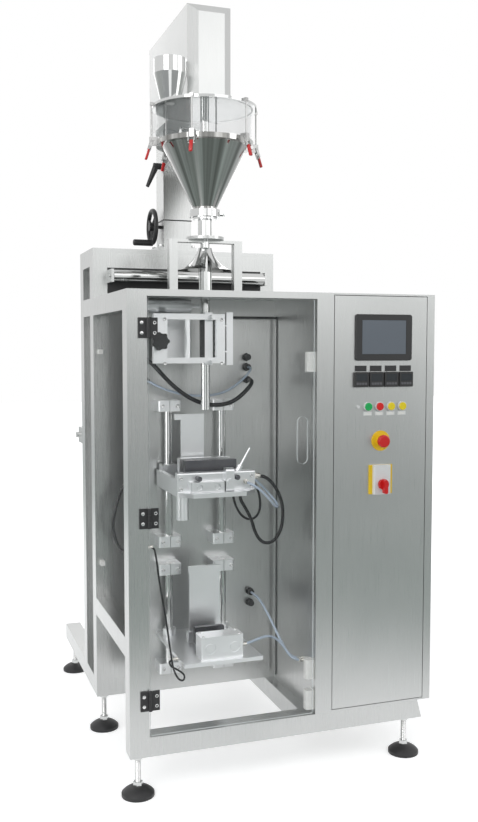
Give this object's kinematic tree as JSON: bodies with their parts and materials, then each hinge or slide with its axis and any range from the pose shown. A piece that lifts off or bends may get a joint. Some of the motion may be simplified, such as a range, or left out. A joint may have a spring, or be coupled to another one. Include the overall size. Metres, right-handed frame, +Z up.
{
  "type": "vertical bagging machine with auger filler",
  "caption": "Vertical form, fill and seal bagging machine with an auger powder filler on a column above a glazed sealing bay and a control cabinet.",
  "frame": {"origin": "on the floor, in the middle of the machine's outline", "axes": "+X to the cabinet side, -Y to the operator, +Z up"},
  "size_m": [1.035, 1.284, 2.414],
  "materials": {
    "stainless_frame": "brushed stainless steel",
    "stainless_sheet": "brushed stainless sheet",
    "polished_steel": "polished stainless steel",
    "black_plastic": "black moulded plastic",
    "black_screen": "black bezel with a grey glass",
    "clear_acrylic": "clear acrylic sheet",
    "white_plastic": "white moulded plastic",
    "grey_plastic": "grey plastic",
    "yellow_plastic": "yellow plastic",
    "red_plastic": "red plastic",
    "green_lens": "green lens",
    "red_lens": "red lens",
    "yellow_lens": "yellow lens",
    "aluminium": "machined aluminium",
    "drive_grey": "painted cast housings",
    "black_hose": "black corrugated conduit",
    "clear_hose": "clear bluish air hose"
  },
  "bodies": {
    "machine_frame": {"frame_tubes": "stainless_frame", "sheet_panels": "stainless_sheet", "foot_pads": "black_plastic", "foot_studs": "polished_steel", "side_window": "clear_acrylic", "clips_and_catches": "white_plastic", "fixed_hinge_leaves": "black_plastic", "cabinet_shell": "stainless_sheet", "control_gear": "grey_plastic", "column_base": "stainless_frame", "former_bracket": "stainless_frame", "forming_set": "polished_steel", "guide_shafts": "polished_steel", "shaft_supports": "aluminium", "lower_tray": "aluminium", "sealer_frame": "aluminium", "cable_glands": "black_plastic", "main_conduit": "black_hose", "upper_air_hose": "clear_hose", "lower_air_hose": "clear_hose"},
    "front_door": {"acrylic_door": "clear_acrylic", "moving_hinge_leaves": "black_plastic"},
    "cabinet_door": {"cabinet_door": "stainless_sheet", "touchscreen": "black_screen", "temperature_controllers": "black_plastic", "button_bezels": "grey_plastic", "yellow_plates": "yellow_plastic"},
    "green_button": {"push_button_green": "green_lens"},
    "red_button": {"push_button_red": "red_lens"},
    "left_yellow_button": {"push_button_yellow_left": "yellow_lens"},
    "right_yellow_button": {"push_button_yellow_right": "yellow_lens"},
    "emergency_stop": {"estop_head": "red_plastic"},
    "isolator": {"isolator_knob": "red_plastic"},
    "auger_head": {"column_sleeve": "stainless_frame", "head_housing": "stainless_sheet", "drive_motors": "drive_grey", "hopper_lid": "polished_steel", "hopper_cylinder": "clear_acrylic", "hopper_cone": "polished_steel", "latch_bases": "polished_steel", "auger_tube": "polished_steel"},
    "auger": {"auger_screw": "polished_steel"},
    "agitator": {"agitator": "polished_steel"},
    "handwheel": {"handwheel": "black_plastic"},
    "clamp_lever": {"clamp_lever": "black_plastic"},
    "jaw_carriage": {"jaw_carriage": "aluminium", "carriage_loops": "black_hose", "carriage_air_hose": "clear_hose"},
    "front_jaw": {"front_jaw": "aluminium"},
    "gripper": {"gripper_pad": "aluminium"},
    "sealer": {"sealer_bar": "aluminium"},
    "star_knob": {"star_knob": "black_plastic"},
    "guide_roller": {"guide_roller": "polished_steel"},
    "film_mandrel": {"film_mandrel": "polished_steel"},
    "latch_1": {"latch_lever_1": "red_plastic"},
    "latch_2": {"latch_lever_2": "red_plastic"},
    "latch_3": {"latch_lever_3": "red_plastic"},
    "latch_4": {"latch_lever_4": "red_plastic"},
    "latch_5": {"latch_lever_5": "red_plastic"},
    "latch_6": {"latch_lever_6": "red_plastic"}
  },
  "joints": [
    {"name": "front_door_hinge", "type": "hinge", "parent": "machine_frame", "child": "front_door", "pos_m": [-0.43575, -0.604, 0.8], "axis": [0, 0, -1], "range_deg": [0, 110]},
    {"name": "cabinet_door_hinge", "type": "hinge", "parent": "machine_frame", "child": "cabinet_door", "pos_m": [0.4825, -0.5934, 0.8], "axis": [0, 0, 1], "range_deg": [0, 105]},
    {"name": "green_button_press", "type": "slide", "parent": "cabinet_door", "child": "green_button", "axis": [0, 1, 0], "range_m": [0, 0.004], "stiffness_N_per_m": 600},
    {"name": "red_button_press", "type": "slide", "parent": "cabinet_door", "child": "red_button", "axis": [0, 1, 0], "range_m": [0, 0.004], "stiffness_N_per_m": 600},
    {"name": "left_yellow_button_press", "type": "slide", "parent": "cabinet_door", "child": "left_yellow_button", "axis": [0, 1, 0], "range_m": [0, 0.004], "stiffness_N_per_m": 600},
    {"name": "right_yellow_button_press", "type": "slide", "parent": "cabinet_door", "child": "right_yellow_button", "axis": [0, 1, 0], "range_m": [0, 0.004], "stiffness_N_per_m": 600},
    {"name": "emergency_stop_press", "type": "slide", "parent": "cabinet_door", "child": "emergency_stop", "axis": [0, 1, 0], "range_m": [0, 0.004]},
    {"name": "isolator_turn", "type": "hinge", "parent": "cabinet_door", "child": "isolator", "pos_m": [0.325, -0.618, 0.915], "axis": [0, 1, 0], "range_deg": [0, 90]},
    {"name": "head_lift", "type": "slide", "parent": "machine_frame", "child": "auger_head", "axis": [0, 0, 1], "range_m": [0, 0.06]},
    {"name": "handwheel_turn", "type": "hinge", "parent": "machine_frame", "child": "handwheel", "pos_m": [-0.2755, -0.018, 1.775], "axis": [1, 0, 0], "range_deg": [0, 2160]},
    {"name": "auger_spin", "type": "hinge", "parent": "auger_head", "child": "auger", "pos_m": [-0.1975, -0.393, 1.7], "axis": [0, 0, 1], "continuous": true},
    {"name": "agitator_spin", "type": "hinge", "parent": "auger_head", "child": "agitator", "pos_m": [-0.1975, -0.393, 2.05], "axis": [0, 0, 1], "continuous": true},
    {"name": "clamp_lever_turn", "type": "hinge", "parent": "auger_head", "child": "clamp_lever", "pos_m": [-0.2475, -0.018, 1.987], "axis": [1, 0, 0], "range_deg": [-45, 45]},
    {"name": "latch_1_swing", "type": "hinge", "parent": "auger_head", "child": "latch_1", "pos_m": [-0.111, -0.54282, 1.985], "axis": [-0.866, -0.5, 0], "range_deg": [0, 110]},
    {"name": "latch_2_swing", "type": "hinge", "parent": "auger_head", "child": "latch_2", "pos_m": [-0.0245, -0.393, 1.985], "axis": [0, -1, 0], "range_deg": [0, 110]},
    {"name": "latch_3_swing", "type": "hinge", "parent": "auger_head", "child": "latch_3", "pos_m": [-0.111, -0.24318, 1.985], "axis": [0.866, -0.5, 0], "range_deg": [0, 110]},
    {"name": "latch_4_swing", "type": "hinge", "parent": "auger_head", "child": "latch_4", "pos_m": [-0.284, -0.24318, 1.985], "axis": [0.866, 0.5, 0], "range_deg": [0, 110]},
    {"name": "latch_5_swing", "type": "hinge", "parent": "auger_head", "child": "latch_5", "pos_m": [-0.3705, -0.393, 1.985], "axis": [0, 1, 0], "range_deg": [0, 110]},
    {"name": "latch_6_swing", "type": "hinge", "parent": "auger_head", "child": "latch_6", "pos_m": [-0.284, -0.54282, 1.985], "axis": [-0.866, 0.5, 0], "range_deg": [0, 110]},
    {"name": "jaw_carriage_slide", "type": "slide", "parent": "machine_frame", "child": "jaw_carriage", "axis": [0, 0, 1], "range_m": [-0.07, 0.05]},
    {"name": "front_jaw_close", "type": "slide", "parent": "jaw_carriage", "child": "front_jaw", "axis": [0, 1, 0], "range_m": [0, 0.035]},
    {"name": "gripper_close", "type": "slide", "parent": "machine_frame", "child": "gripper", "axis": [0, 1, 0], "range_m": [0, 0.028]},
    {"name": "sealer_close", "type": "slide", "parent": "machine_frame", "child": "sealer", "axis": [0, 1, 0], "range_m": [0, 0.008]},
    {"name": "star_knob_turn", "type": "hinge", "parent": "machine_frame", "child": "star_knob", "pos_m": [-0.3653, -0.458, 1.369], "axis": [0, 1, 0], "continuous": true},
    {"name": "guide_roller_spin", "type": "hinge", "parent": "machine_frame", "child": "guide_roller", "pos_m": [-0.1675, -0.12, 1.593], "axis": [1, 0, 0], "continuous": true},
    {"name": "film_mandrel_spin", "type": "hinge", "parent": "machine_frame", "child": "film_mandrel", "pos_m": [-0.1675, 0.342, 1.01501], "axis": [1, 0, 0], "continuous": true}
  ],
  "couplings": [
    {"joint": "handwheel_turn", "follows": "head_lift", "rad_per_m": 628.32}
  ]
}
